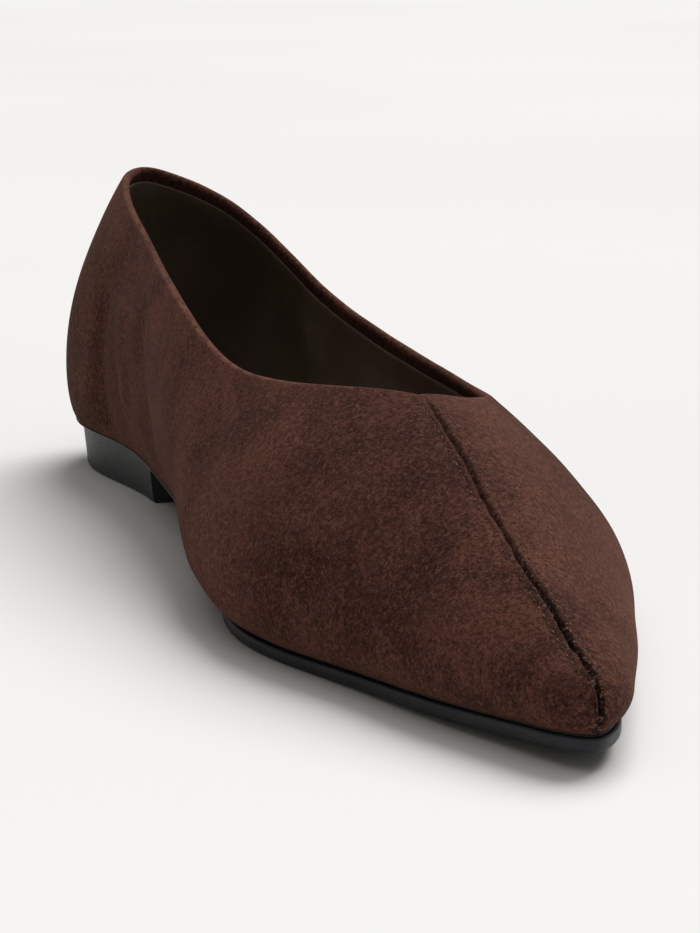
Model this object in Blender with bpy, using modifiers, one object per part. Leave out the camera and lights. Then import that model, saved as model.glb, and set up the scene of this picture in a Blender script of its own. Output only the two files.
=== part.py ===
"""Left shoe of a pair of pointed toe flats: a hollow suede upper with a lower lateral side, an insole,
a thin rubber outsole with arch and toe spring, and a low heel block.

The last is worked out from its length, ball width, instep height and heel height. Its frame has the toe
towards -Y, the heel towards +Y, the lateral (outer) side of the left foot towards +X, and the floor at z = 0.
"""
import bpy
import bmesh
import numpy as np

MM = 0.001

# Driving sizes of the last, in millimetres
LAST_LENGTH = 262.0        # feather line, heel to toe
BALL_WIDTH = 69.0          # feather line, across the joints
INSTEP_HEIGHT = 64.0       # closed last at the front of the waist, over the floor
TOE_SPRING = 3.4           # lift of the feather line at the toe tip

# Sizes of the pieces, in millimetres
UPPER_WALL = 2.0           # suede and its lining
OUTSOLE_FORE = 2.5         # outsole under the ball and toe
OUTSOLE_WAIST = 2.2        # outsole under the waist
HEEL_BLOCK = 10.7          # heel block, floor to upper
INSOLE = 2.6
MESH_GAP = 0.3             # between faceted pieces that touch

TREAD_FEATHER = OUTSOLE_FORE + MESH_GAP
SEAT_FEATHER = HEEL_BLOCK + MESH_GAP

# Stretches along the foot, in millimetres from the heel
TREAD_FRONT = 186.0        # flat tread ends and the toe spring begins
TREAD_BACK = 150.0         # flat tread ends and the arch begins
SEAT_FRONT = 38.0          # arch reaches the level heel seat
SOLE_WIDE_FROM = 132.0     # outsole edge is tucked in behind this
SOLE_WIDE_AT = 168.0       # and stands out as a narrow welt in front of this
HEEL_BREAST = 63.0         # front face of the heel block
INSOLE_TIP = 253.0         # feather line beside the insole's blunt tip

# Sections of the last, toe to heel. Places along the foot are percent of the length, widths percent of
# the ball width and heights percent of the instep height.
LAST_COLUMNS = ("feather", "ridge", "lateral", "medial", "height", "swell", "rise", "crown", "fall")
LAST_SECTIONS = {
    "tip":         (100.0, 97.7, 0.0, 0.0, 27.0, 8.0, 10.2, 6.1, 2.2),
    "nose":        (99.0, 97.1, 5.5, 4.3, 27.7, 8.7, 10.0, 7.1, 2.3),
    "toe":         (95.5, 94.3, 13.8, 10.1, 32.8, 10.9, 9.7, 9.4, 2.5),
    "vamp_low":    (88.5, 87.8, 26.4, 19.6, 43.8, 15.2, 9.7, 14.9, 3.6),
    "vamp":        (78.0, 78.0, 43.8, 31.0, 62.0, 20.0, 10.2, 21.3, 4.8),
    "ball":        (67.0, 67.0, 58.5, 42.2, 77.0, 25.6, 13.0, 26.7, 6.0),
    "joint":       (55.5, 56.0, 57.7, 36.2, 86.5, 28.2, 22.5, 31.3, 5.6),
    "waist_front": (44.0, 45.0, 48.5, 27.5, 100.0, 26.2, 34.4, 30.0, 3.4),
    "waist":       (32.5, 35.0, 42.0, 25.8, 109.0, 20.7, 42.0, 25.0, 1.7),
    "seat":        (19.0, 23.8, 38.0, 26.0, 116.5, 15.4, 44.0, 18.5, 0.2),
    "heel_side":   (7.5, 15.8, 35.0, 30.3, 120.0, 12.8, 43.0, 15.3, 0.0),
    "heel_corner": (1.7, 11.7, 21.3, 19.7, 124.5, 12.2, 43.0, 16.5, 0.0),
    "heel_back":   (0.0, 10.8, 0.0, 0.0, 128.5, 12.3, 43.0, 21.0, 0.0),
}
COLUMN_SIZES = {
    "feather": LAST_LENGTH, "ridge": LAST_LENGTH,
    "lateral": BALL_WIDTH, "medial": BALL_WIDTH, "swell": BALL_WIDTH, "crown": BALL_WIDTH,
    "height": INSTEP_HEIGHT, "rise": INSTEP_HEIGHT, "fall": INSTEP_HEIGHT,
}

# The topline, from the top of the front seam back to the heel. Each row is a place along the feather
# line in percent of the length, and how far up the section the edge runs, 0 at the feather line and
# 1 at the ridge.
SEAM_TOP = 70.6
TOPLINE_HEEL = 0.660
TOPLINE_LATERAL = ((67.2, 0.807), (61.1, 0.666), (54.6, 0.547), (45.8, 0.443), (33.2, 0.406),
                   (20.2, 0.464), (6.7, 0.618))
TOPLINE_MEDIAL = ((65.3, 0.839), (57.4, 0.714), (50.2, 0.646), (40.1, 0.598), (29.0, 0.584),
                  (17.0, 0.605), (3.4, 0.681))

# Mesh counts
SEAM_COLUMNS = 18          # columns that end on the front seam, for each side
TOPLINE_COLUMNS = 76       # columns that end on the topline
UPPER_ROWS = 13
SOLE_SECTIONS = 44
HEEL_SECTIONS = 18


def smooth_step(x, start, end):
    """Share that goes from 0 at start to 1 at end along 3u^2 - 2u^3, and stays level outside."""
    u = np.clip((x - start) / (end - start), 0.0, 1.0)
    return u * u * (3.0 - 2.0 * u)


class Spline:
    """Cubic spline through points, with its second derivatives solved from the tridiagonal system. It
    is either closed, so that its ends meet in one smooth curve, or natural, straight at its ends."""

    def __init__(self, knots, values, closed=False):
        self.knots = np.asarray(knots, float)
        self.values = np.asarray(values, float)
        steps = np.diff(self.knots)
        slopes = np.diff(self.values) / steps
        count = len(self.knots)
        matrix = np.zeros((count, count))
        right = np.zeros(count)
        for i in range(1, count - 1):
            matrix[i, i - 1:i + 2] = steps[i - 1], 2.0 * (steps[i - 1] + steps[i]), steps[i]
            right[i] = 6.0 * (slopes[i] - slopes[i - 1])
        matrix[0, 0] = 1.0
        matrix[-1, -1] = 1.0
        if closed:
            matrix[0, -1] = -1.0
            matrix[-1, :2] = 2.0 * steps[0], steps[0]
            matrix[-1, -2:] = steps[-1], 2.0 * steps[-1]
            right[-1] = 6.0 * (slopes[0] - slopes[-1])
        self.bends = np.linalg.solve(matrix, right)

    def __call__(self, at, slope=False):
        """Value of the curve, or its slope, at each place."""
        at = np.asarray(at, float)
        i = np.clip(np.searchsorted(self.knots, at, side="right") - 1, 0, len(self.knots) - 2)
        step = self.knots[i + 1] - self.knots[i]
        a = (self.knots[i + 1] - at) / step
        b = 1.0 - a
        low = self.bends[i] * step * step / 6.0
        high = self.bends[i + 1] * step * step / 6.0
        if slope:
            rise = self.values[i + 1] - self.values[i] - (3.0 * a * a - 1.0) * low + (3.0 * b * b - 1.0) * high
            return rise / step
        return a * self.values[i] + b * self.values[i + 1] + (a ** 3 - a) * low + (b ** 3 - b) * high


def last_curves():
    """Closed splines of the last's columns round the feather line: 0 at the toe tip, up to 1 along the
    lateral side to the heel back, and on to 2 along the medial side. The knots are distances along the
    mean of both sides, so that both sides share the ridge."""
    rows = np.array(list(LAST_SECTIONS.values()))
    table = {}
    for column, name in enumerate(LAST_COLUMNS):
        table[name] = rows[:, column] / 100.0 * COLUMN_SIZES[name]
    mean_width = (table["lateral"] + table["medial"]) / 2.0
    steps = np.hypot(np.diff(mean_width), np.diff(table["feather"]))
    knots = np.concatenate([[0.0], np.cumsum(steps)]) / steps.sum()
    knots = np.concatenate([knots, 2.0 - knots[-2::-1]])
    curves = {"side": Spline(knots, np.concatenate([table["lateral"], -table["medial"][-2::-1]]), closed=True)}
    for name in ("feather", "ridge", "height", "swell", "rise", "crown", "fall"):
        curves[name] = Spline(knots, np.concatenate([table[name], table[name][-2::-1]]), closed=True)
    return curves


CURVES = last_curves()
HALF_TURN = np.linspace(0.0, 1.0, 801)


def turn_at(from_heel, curve="feather"):
    """Place round the lateral half of the loop where a curve has this distance from the heel."""
    return np.interp(-np.asarray(from_heel, float), -CURVES[curve](HALF_TURN), HALF_TURN)


def feather_height(from_heel):
    """Height of the feather line: level over the tread, up a smooth step over the arch to the heel
    seat, and up a power curve to the toe spring."""
    arch = (SEAT_FEATHER - TREAD_FEATHER) * (1.0 - smooth_step(from_heel, SEAT_FRONT, TREAD_BACK))
    toe = np.clip((from_heel - TREAD_FRONT) / (LAST_LENGTH - TREAD_FRONT), 0.0, 1.2)
    return TREAD_FEATHER + arch + TOE_SPRING * toe ** 1.6


def outsole_thickness(from_heel):
    """Thickness of the outsole, thinner over the waist and heel seat."""
    return OUTSOLE_WAIST + (OUTSOLE_FORE - OUTSOLE_WAIST) * smooth_step(from_heel, SEAT_FRONT, TREAD_BACK)


def outward(turn):
    """Unit normal of the feather line in plan, away from the shoe."""
    across = CURVES["side"](turn, slope=True)
    along = CURVES["feather"](turn, slope=True)
    normal = np.stack([-along, across], -1)
    return normal / np.linalg.norm(normal, axis=-1, keepdims=True)


def edge_points(turn, offset):
    """Points beside the feather line, moved outward by offset, at the feather height of their own place
    along the foot."""
    turn = np.asarray(turn, float) % 2.0
    normal = outward(turn)
    across = CURVES["side"](turn) + normal[..., 0] * offset
    from_heel = CURVES["feather"](turn) + normal[..., 1] * offset
    return np.stack([across, from_heel, feather_height(from_heel)], -1)


def last_surface(turn, up):
    """Outside of the upper. Each section is a cubic Bezier curve from the feather line, up = 0, to the
    ridge, up = 1. It leaves the feather line outward by swell and up by rise, and meets the ridge from
    crown outward and fall below."""
    turn = np.asarray(turn, float) % 2.0
    up = np.asarray(up, float)[..., None]
    normal = outward(turn)
    flat = np.zeros_like(turn)
    feather = edge_points(turn, 0.0)
    ridge = np.stack([flat, CURVES["ridge"](turn), CURVES["height"](turn)], -1)
    swell = normal * CURVES["swell"](turn)[..., None]
    crown = normal * CURVES["crown"](turn)[..., None]
    low_handle = feather + np.concatenate([swell, CURVES["rise"](turn)[..., None]], -1)
    high_handle = ridge + np.concatenate([crown, -CURVES["fall"](turn)[..., None]], -1)
    down = 1.0 - up
    return (down ** 3 * feather + 3.0 * down ** 2 * up * low_handle
            + 3.0 * down * up ** 2 * high_handle + up ** 3 * ridge)


def topline_path():
    """Splines of the turn and the height share along the topline, 0 to 1 from the seam top along the
    lateral side round the heel and back. Also gives the share at the heel back and the seam top's turn."""
    seam_turn = turn_at(SEAM_TOP / 100.0 * LAST_LENGTH, "ridge")
    lateral = [(turn_at(along / 100.0 * LAST_LENGTH), up) for along, up in TOPLINE_LATERAL]
    medial = [(2.0 - turn_at(along / 100.0 * LAST_LENGTH), up) for along, up in TOPLINE_MEDIAL]
    rows = [(seam_turn, 1.0)] + lateral + [(1.0, TOPLINE_HEEL)] + medial[::-1] + [(2.0 - seam_turn, 1.0)]
    turns, ups = np.array(rows, float).T
    turn_weight = 4.0
    steps = np.sqrt(np.hypot(turn_weight * np.diff(turns), np.diff(ups)))
    shares = np.concatenate([[0.0], np.cumsum(steps)]) / steps.sum()
    heel_share = shares[1 + len(lateral)]
    return Spline(shares, turns), Spline(shares, ups), heel_share, seam_turn


def upper_grid():
    """Columns of points on the last from the feather line to the front seam or the topline. The foot of
    each column lies a little nearer the toe than its top, most at the seam top, so that the columns
    fan round the throat."""
    turn_path, up_path, heel_share, seam_turn = topline_path()
    lean = 0.2 * seam_turn
    seam_turns = np.linspace(0.0, 1.0, SEAM_COLUMNS + 1)[:-1] ** 1.15 * seam_turn
    shares = np.linspace(0.0, 1.0, TOPLINE_COLUMNS)
    fade = np.where(shares < heel_share, 1.0 - shares / heel_share,
                    -(shares - heel_share) / (1.0 - heel_share))
    top_turns = np.concatenate([seam_turns, turn_path(shares), 2.0 - seam_turns[::-1]])
    top_ups = np.concatenate([np.ones(SEAM_COLUMNS), up_path(shares), np.ones(SEAM_COLUMNS)])
    seam_lean = lean * seam_turns / seam_turn
    foot_turns = top_turns - np.concatenate([seam_lean, lean * fade, -seam_lean[::-1]])
    rows = np.linspace(0.0, 1.0, UPPER_ROWS)
    turns = foot_turns[:, None] + (top_turns - foot_turns)[:, None] * rows
    return last_surface(turns, top_ups[:, None] * rows)


def plan_centre():
    """Middle of the shoe's plan box, which becomes the origin."""
    grid = upper_grid().reshape(-1, 3)
    turns = np.linspace(0.0, 2.0, 401)
    points = np.concatenate([grid, edge_points(turns, outsole_offset(turns))])[:, :2]
    return (points.min(0) + points.max(0)) / 2.0


def outsole_offset(turn):
    """How far the edge of the outsole and heel stands outside the feather line: a narrow welt round the
    forepart, tucked in under the waist, and further in at the heel."""
    fore_welt = 0.9
    tip_welt = 0.6
    waist_tuck = 1.1
    heel_tuck = 1.7
    from_heel = CURVES["feather"](np.asarray(turn) % 2.0)
    wide = smooth_step(from_heel, SOLE_WIDE_FROM, SOLE_WIDE_AT)
    tip = smooth_step(from_heel, TREAD_FRONT, LAST_LENGTH)
    seat = smooth_step(from_heel, SOLE_WIDE_FROM, SEAT_FRONT)
    waist = -waist_tuck - (heel_tuck - waist_tuck) * seat
    return fore_welt * wide + waist * (1.0 - wide) - (fore_welt - tip_welt) * tip


CENTRE = plan_centre()


def to_frame(points):
    """Turns (across, from heel, height) in millimetres into metres in the shoe's frame."""
    across = points[..., 0] - CENTRE[0]
    along = CENTRE[1] - points[..., 1]
    return np.stack([across, along, points[..., 2]], -1) * MM


def srgb(code):
    """Linear colour of an sRGB hex code, with full alpha."""
    values = np.array([int(code[i:i + 2], 16) for i in (1, 3, 5)]) / 255.0
    linear = np.where(values <= 0.04045, values / 12.92, ((values + 0.055) / 1.055) ** 2.4)
    return (*linear, 1.0)


def material(name, colour, roughness):
    """Plain Principled material."""
    made = bpy.data.materials.new(name)
    made.use_nodes = True
    shader = made.node_tree.nodes["Principled BSDF"]
    shader.inputs["Base Color"].default_value = srgb(colour)
    shader.inputs["Roughness"].default_value = roughness
    shader.inputs["Metallic"].default_value = 0.0
    return made


def add_object(name, points, faces, made_material, collection):
    """Object from points and faces, with doubled points merged and faces turned outward."""
    merge_distance = 0.00002
    work = bmesh.new()
    corners = [work.verts.new(point) for point in points]
    for face in faces:
        work.faces.new([corners[i] for i in face])
    bmesh.ops.remove_doubles(work, verts=work.verts, dist=merge_distance)
    bmesh.ops.dissolve_degenerate(work, edges=work.edges, dist=merge_distance)
    bmesh.ops.recalc_face_normals(work, faces=work.faces)
    mesh = bpy.data.meshes.new(name)
    work.to_mesh(mesh)
    work.free()
    mesh.shade_smooth()
    mesh.set_sharp_from_angle(angle=np.radians(35.0))
    mesh.materials.append(made_material)
    made = bpy.data.objects.new(name, mesh)
    collection.objects.link(made)
    return made


def grid_faces(columns, rows, closed_rows=False):
    """Quads of a grid whose points run row by row inside each column."""
    faces = []
    row_steps = rows if closed_rows else rows - 1
    for i in range(columns - 1):
        for j in range(row_steps):
            following = (j + 1) % rows
            faces.append((i * rows + j, (i + 1) * rows + j,
                          (i + 1) * rows + following, i * rows + following))
    return faces


def make_upper(collection):
    """The hollow upper: the open surface of the last, closed along the front seam by merging, and
    thickened inward to the wall."""
    grid = to_frame(upper_grid())
    columns, rows = grid.shape[:2]
    suede = material("suede_dark_brown", "#3A2521", 0.9)
    upper = add_object("upper", grid.reshape(-1, 3), grid_faces(columns, rows), suede, collection)
    wall = upper.modifiers.new("wall", "SOLIDIFY")
    wall.thickness = UPPER_WALL * MM
    wall.offset = -1.0
    wall.use_even_offset = True
    return upper


def edge_loft(name, turns, profile, made_material, collection, flat_front=None, flat_back=None):
    """Solid between the two sides of the foot. The profile lists, from the top edge to the bottom edge,
    an offset as a function of the turn and a height as a function of the distance from the heel. Each
    section joins the lateral profile to the medial one at the same turn from the toe, and the sections
    run from front to back. A flat end lies at one distance from the heel."""
    sections = []
    for side_turns in (turns, 2.0 - turns):
        rings = [edge_points(side_turns, offset(side_turns)) for offset, height in profile]
        for ring, (offset, height) in zip(rings, profile):
            if flat_front is not None:
                ring[0, 1] = flat_front
            if flat_back is not None:
                ring[-1, 1] = flat_back
            ring[:, 2] = height(ring[:, 1])
        sections.append(np.stack(rings, 1))
    loop = np.concatenate([sections[0], sections[1][:, ::-1]], 1)
    count, ring_size = loop.shape[:2]
    faces = grid_faces(count, ring_size, closed_rows=True)
    faces.append(tuple(range(ring_size)))
    faces.append(tuple((count - 1) * ring_size + j for j in range(ring_size)))
    return add_object(name, to_frame(loop).reshape(-1, 3), faces, made_material, collection)


def eased(start, end, count):
    """Turns from start to end, close together at both ends, where the outline is tightly curved."""
    return start + (end - start) * (1.0 - np.cos(np.linspace(0.0, np.pi, count))) / 2.0


def outsole_top(from_heel):
    return feather_height(from_heel) - MESH_GAP


def outsole_bottom(from_heel):
    return outsole_top(from_heel) - outsole_thickness(from_heel)


def make_outsole(collection):
    """The outsole: a thin sheet with a rounded edge that follows the arch and toe spring, and butts
    against the heel block."""
    round_in = 0.35
    profile = [
        (lambda t: outsole_offset(t) - round_in, outsole_top),
        (outsole_offset, lambda y: outsole_top(y) - round_in),
        (outsole_offset, lambda y: outsole_bottom(y) + 2.0 * round_in),
        (lambda t: outsole_offset(t) - 2.0 * round_in, outsole_bottom),
    ]
    rubber = material("outsole_rubber", "#2D2D32", 0.5)
    back = HEEL_BREAST + MESH_GAP
    turns = eased(0.0, turn_at(back), SOLE_SECTIONS)
    return edge_loft("outsole", turns, profile, rubber, collection, flat_back=back)


def make_heel(collection):
    """The heel block: it carries the seat, goes on from the outsole's outline, tapers a little to the
    floor, stands flat, and has a flat breast."""
    taper = 0.9
    round_in = 0.9
    profile = [
        (outsole_offset, outsole_top),
        (lambda t: outsole_offset(t) - taper, lambda y: np.full_like(y, round_in)),
        (lambda t: outsole_offset(t) - taper - 0.4 * round_in, lambda y: np.full_like(y, 0.3 * round_in)),
        (lambda t: outsole_offset(t) - taper - round_in, np.zeros_like),
    ]
    rubber = material("heel_rubber", "#3C3F3D", 0.45)
    turns = 1.0 - (1.0 - turn_at(HEEL_BREAST)) * (1.0 - np.linspace(0.0, 1.0, HEEL_SECTIONS) ** 0.8)
    return edge_loft("heel", turns, profile, rubber, collection, flat_front=HEEL_BREAST)


def insole_inset(turn):
    """How far the insole's edge stays inside the feather line: past the foot of the upper's inner wall,
    whose width in plan follows from the slope at which the wall leaves the feather line."""
    swell = CURVES["swell"](turn % 2.0)
    rise = CURVES["rise"](turn % 2.0)
    return UPPER_WALL * rise / np.hypot(swell, rise) + 1.5 * MESH_GAP


def make_insole(collection):
    """The insole: a board with a rounded top edge that lies on the outsole inside the upper."""
    round_in = 0.7
    profile = [
        (lambda t: -insole_inset(t) - round_in, lambda y: feather_height(y) + INSOLE),
        (lambda t: -insole_inset(t), lambda y: feather_height(y) + INSOLE - round_in),
        (lambda t: -insole_inset(t), feather_height),
    ]
    leather = material("insole_leather", "#241612", 0.55)
    turns = eased(turn_at(INSOLE_TIP), 1.0, SOLE_SECTIONS)
    return edge_loft("insole", turns, profile, leather, collection)


def main():
    for existing in list(bpy.data.objects):
        bpy.data.objects.remove(existing, do_unlink=True)
    collection = bpy.data.collections.new("pointed_toe_flat")
    bpy.context.scene.collection.children.link(collection)
    make_outsole(collection)
    make_heel(collection)
    make_insole(collection)
    make_upper(collection)


main()
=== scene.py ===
"""Finish of the left shoe of a pair of pointed toe flats: suede upper with a closed front seam, lining,
topstitching, insole, rubber outsole and heel, on a pale studio floor.

Shapes are worked out on the last, in millimetres, as (across, from heel, height), and then placed in
the shoe's frame: toe towards -Y, lateral side towards +X, floor at z = 0.
"""

import bmesh
import bpy
import numpy as np
from mathutils import Matrix, Vector


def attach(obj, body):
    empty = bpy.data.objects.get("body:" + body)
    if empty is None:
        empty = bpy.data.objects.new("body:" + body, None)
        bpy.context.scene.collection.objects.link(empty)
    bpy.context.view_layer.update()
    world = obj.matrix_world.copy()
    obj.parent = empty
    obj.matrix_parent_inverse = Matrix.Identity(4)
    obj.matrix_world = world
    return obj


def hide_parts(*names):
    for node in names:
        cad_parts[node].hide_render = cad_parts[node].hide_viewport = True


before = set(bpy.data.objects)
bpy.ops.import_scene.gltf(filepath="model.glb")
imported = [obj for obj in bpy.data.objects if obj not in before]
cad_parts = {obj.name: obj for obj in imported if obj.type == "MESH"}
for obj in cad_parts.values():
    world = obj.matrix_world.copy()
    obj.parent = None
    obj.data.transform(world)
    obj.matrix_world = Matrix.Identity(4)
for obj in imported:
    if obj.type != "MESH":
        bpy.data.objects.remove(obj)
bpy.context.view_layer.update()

MM = 0.001

# Sizes of the last and its pieces, in millimetres, as in the CAD
LAST_LENGTH = 262.0
BALL_WIDTH = 69.0
INSTEP_HEIGHT = 64.0
TOE_SPRING = 3.4
UPPER_WALL = 2.0
OUTSOLE_FORE = 2.5
OUTSOLE_WAIST = 2.2
HEEL_BLOCK = 10.7
INSOLE = 2.6
MESH_GAP = 0.3
TREAD_FEATHER = OUTSOLE_FORE + MESH_GAP
SEAT_FEATHER = HEEL_BLOCK + MESH_GAP
TREAD_FRONT = 186.0
TREAD_BACK = 150.0
SEAT_FRONT = 38.0
SOLE_WIDE_FROM = 132.0
SOLE_WIDE_AT = 168.0
HEEL_BREAST = 63.0
INSOLE_TIP = 253.0
PLAN_CENTRE = (5.6491, 131.0734)   # middle of the CAD's plan box: across, from the heel

# Sections of the last, toe to heel. Places along the foot are percent of the length, widths percent of
# the ball width and heights percent of the instep height.
LAST_COLUMNS = {
    "feather": LAST_LENGTH, "ridge": LAST_LENGTH, "lateral": BALL_WIDTH, "medial": BALL_WIDTH,
    "height": INSTEP_HEIGHT, "swell": BALL_WIDTH, "rise": INSTEP_HEIGHT, "crown": BALL_WIDTH,
    "fall": INSTEP_HEIGHT,
}
LAST_SECTIONS = {
    "tip":         (100.0, 97.7, 0.0, 0.0, 27.0, 8.0, 10.2, 6.1, 2.2),
    "nose":        (99.0, 97.1, 5.5, 4.3, 27.7, 8.7, 10.0, 7.1, 2.3),
    "toe":         (95.5, 94.3, 13.8, 10.1, 32.8, 10.9, 9.7, 9.4, 2.5),
    "vamp_low":    (88.5, 87.8, 26.4, 19.6, 43.8, 15.2, 9.7, 14.9, 3.6),
    "vamp":        (78.0, 78.0, 43.8, 31.0, 62.0, 20.0, 10.2, 21.3, 4.8),
    "ball":        (67.0, 67.0, 58.5, 42.2, 77.0, 25.6, 13.0, 26.7, 6.0),
    "joint":       (55.5, 56.0, 57.7, 36.2, 86.5, 28.2, 22.5, 31.3, 5.6),
    "waist_front": (44.0, 45.0, 48.5, 27.5, 100.0, 26.2, 34.4, 30.0, 3.4),
    "waist":       (32.5, 35.0, 42.0, 25.8, 109.0, 20.7, 42.0, 25.0, 1.7),
    "seat":        (19.0, 23.8, 38.0, 26.0, 116.5, 15.4, 44.0, 18.5, 0.2),
    "heel_side":   (7.5, 15.8, 35.0, 30.3, 120.0, 12.8, 43.0, 15.3, 0.0),
    "heel_corner": (1.7, 11.7, 21.3, 19.7, 124.5, 12.2, 43.0, 16.5, 0.0),
    "heel_back":   (0.0, 10.8, 0.0, 0.0, 128.5, 12.3, 43.0, 21.0, 0.0),
}

# The topline, from the top of the front seam back to the heel: place along the feather line in percent
# of the length, and height share up the section.
SEAM_TOP = 70.6
TOPLINE_HEEL = 0.660
TOPLINE_LATERAL = ((67.2, 0.807), (61.1, 0.666), (54.6, 0.547), (45.8, 0.443), (33.2, 0.406),
                   (20.2, 0.464), (6.7, 0.618))
TOPLINE_MEDIAL = ((65.3, 0.839), (57.4, 0.714), (50.2, 0.646), (40.1, 0.598), (29.0, 0.584),
                  (17.0, 0.605), (3.4, 0.681))

# Sewing sizes, in millimetres
SUEDE_THICK = 1.45         # suede and its backing, outside the lining
FOLD_RADIUS = 1.0          # turned-in edge round the topline
FACING_WIDTH = 4.0         # suede band inside the topline
SEAM_DEPTH = 0.95          # trench of the closed front seam
SEAM_HALF_WIDTH = 0.38
STITCH_ROW = 1.75          # from the seam to either row of topstitching
STITCH_PITCH = 2.0
STITCH_LENGTH = 1.0
THREAD_RADIUS = 0.15

# Soft creases of the upper. Each runs between two places given as distance from the heel and height on
# one side of the shoe, with its half width and its depth, hollows below zero and ridges above.
CREASES = {
    "counter_front_hollow": ("medial", 46.0, 43.0, 44.0, 14.0, 4.5, -1.3),
    "counter_front_ridge":  ("medial", 60.0, 41.0, 66.0, 22.0, 4.0, 0.7),
    "counter_foot_ridge":   ("medial", 66.0, 24.0, 90.0, 14.0, 3.8, 0.6),
    "waist_hollow":         ("medial", 79.0, 42.0, 89.0, 24.0, 5.5, -1.1),
    "waist_bulge":          ("medial", 108.0, 14.0, 150.0, 9.0, 6.0, 0.4),
    "joint_crease":         ("medial", 146.0, 36.0, 166.0, 16.0, 7.0, -0.5),
    "vamp_hollow":          ("medial", 190.0, 33.0, 214.0, 16.0, 8.0, -0.5),
    "vamp_swell":           ("medial", 172.0, 38.0, 196.0, 24.0, 8.0, 0.4),
    "lateral_counter":      ("lateral", 52.0, 34.0, 50.0, 14.0, 5.0, -0.6),
    "lateral_waist":        ("lateral", 86.0, 28.0, 104.0, 16.0, 8.0, -0.5),
    "lateral_joint":        ("lateral", 150.0, 26.0, 166.0, 12.0, 7.0, -0.5),
    "lateral_vamp":         ("lateral", 231.0, 25.0, 241.0, 18.0, 2.2, -0.35),
}

# Mesh counts and steps
SEAM_COLUMNS = 120         # columns that end on the front seam, for each side
SEAM_SHARES = np.linspace(0.0, 1.0, SEAM_COLUMNS + 1)[:-1] ** 1.15   # a little closer at the toe
TOPLINE_COLUMNS = 340      # columns that end on the topline
SUEDE_ROWS = 82
INSIDE_ROWS = 26
LINING_ROWS = 44
REACH = 0.0005             # half step in turn or height share of central differences


def smooth_step(x, start, end):
    """Share that goes from 0 at start to 1 at end along 3u^2 - 2u^3, and stays level outside."""
    u = np.clip((x - start) / (end - start), 0.0, 1.0)
    return u * u * (3.0 - 2.0 * u)


def bell(distance, half_width):
    """Bell curve: 1 at no distance, and 1/e at the half width."""
    return np.exp(-(distance / half_width) ** 2)


def unit(vectors):
    """Vectors scaled to length 1."""
    return vectors / np.linalg.norm(vectors, axis=-1, keepdims=True)


def distance_walked(points):
    """Distance along a row of points, from the first to each."""
    steps = np.linalg.norm(np.diff(points, axis=0), axis=1)
    return np.concatenate([[0.0], np.cumsum(steps)])


class Spline:
    """Cubic spline through points: closed, so that its ends meet in one smooth curve, or natural,
    straight at its ends."""

    def __init__(self, knots, values, closed=False):
        self.knots = np.asarray(knots, float)
        self.values = np.asarray(values, float)
        steps = np.diff(self.knots)
        slopes = np.diff(self.values) / steps
        count = len(self.knots)
        matrix = np.zeros((count, count))
        right = np.zeros(count)
        for i in range(1, count - 1):
            matrix[i, i - 1:i + 2] = steps[i - 1], 2.0 * (steps[i - 1] + steps[i]), steps[i]
            right[i] = 6.0 * (slopes[i] - slopes[i - 1])
        matrix[0, 0] = 1.0
        matrix[-1, -1] = 1.0
        if closed:
            matrix[0, -1] = -1.0
            matrix[-1, :2] = 2.0 * steps[0], steps[0]
            matrix[-1, -2:] = steps[-1], 2.0 * steps[-1]
            right[-1] = 6.0 * (slopes[0] - slopes[-1])
        self.bends = np.linalg.solve(matrix, right)

    def __call__(self, at, slope=False):
        """Value of the curve, or its slope, at each place."""
        at = np.asarray(at, float)
        i = np.clip(np.searchsorted(self.knots, at, side="right") - 1, 0, len(self.knots) - 2)
        step = self.knots[i + 1] - self.knots[i]
        a = (self.knots[i + 1] - at) / step
        b = 1.0 - a
        low = self.bends[i] * step * step / 6.0
        high = self.bends[i + 1] * step * step / 6.0
        if slope:
            rise = (self.values[i + 1] - self.values[i] - (3.0 * a * a - 1.0) * low
                    + (3.0 * b * b - 1.0) * high)
            return rise / step
        return a * self.values[i] + b * self.values[i + 1] + (a ** 3 - a) * low + (b ** 3 - b) * high


def last_curves():
    """Closed splines of the last's columns round the feather line: 0 at the toe tip, up to 1 along the
    lateral side to the heel back, and on to 2 along the medial side."""
    columns = np.array(list(LAST_SECTIONS.values())).T
    table = {}
    for (name, size), percents in zip(LAST_COLUMNS.items(), columns):
        table[name] = percents / 100.0 * size
    lateral = table.pop("lateral")
    medial = table.pop("medial")
    steps = np.hypot(np.diff((lateral + medial) / 2.0), np.diff(table["feather"]))
    knots = np.concatenate([[0.0], np.cumsum(steps)]) / steps.sum()
    knots = np.concatenate([knots, 2.0 - knots[-2::-1]])
    loops = {name: np.concatenate([values, values[-2::-1]]) for name, values in table.items()}
    loops["side"] = np.concatenate([lateral, -medial[-2::-1]])
    return {name: Spline(knots, values, closed=True) for name, values in loops.items()}


CURVES = last_curves()
HALF_TURN = np.linspace(0.0, 1.0, 801)


def along_last(percent):
    """Distance from the heel in millimetres of a place given in percent of the length."""
    return percent / 100.0 * LAST_LENGTH


def turn_at(from_heel, curve="feather"):
    """Place round the lateral half of the loop where a curve has this distance from the heel."""
    return np.interp(-np.asarray(from_heel, float), -CURVES[curve](HALF_TURN), HALF_TURN)


def feather_height(from_heel):
    """Height of the feather line: level over the tread, up a smooth step over the arch to the heel
    seat, and up a power curve to the toe spring."""
    past_tip = 1.2
    power = 1.6
    arch = (SEAT_FEATHER - TREAD_FEATHER) * (1.0 - smooth_step(from_heel, SEAT_FRONT, TREAD_BACK))
    toe = np.clip((from_heel - TREAD_FRONT) / (LAST_LENGTH - TREAD_FRONT), 0.0, past_tip)
    return TREAD_FEATHER + arch + TOE_SPRING * toe ** power


def outsole_top(from_heel):
    """Top of the outsole and heel, a mesh gap under the feather line."""
    return feather_height(from_heel) - MESH_GAP


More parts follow.
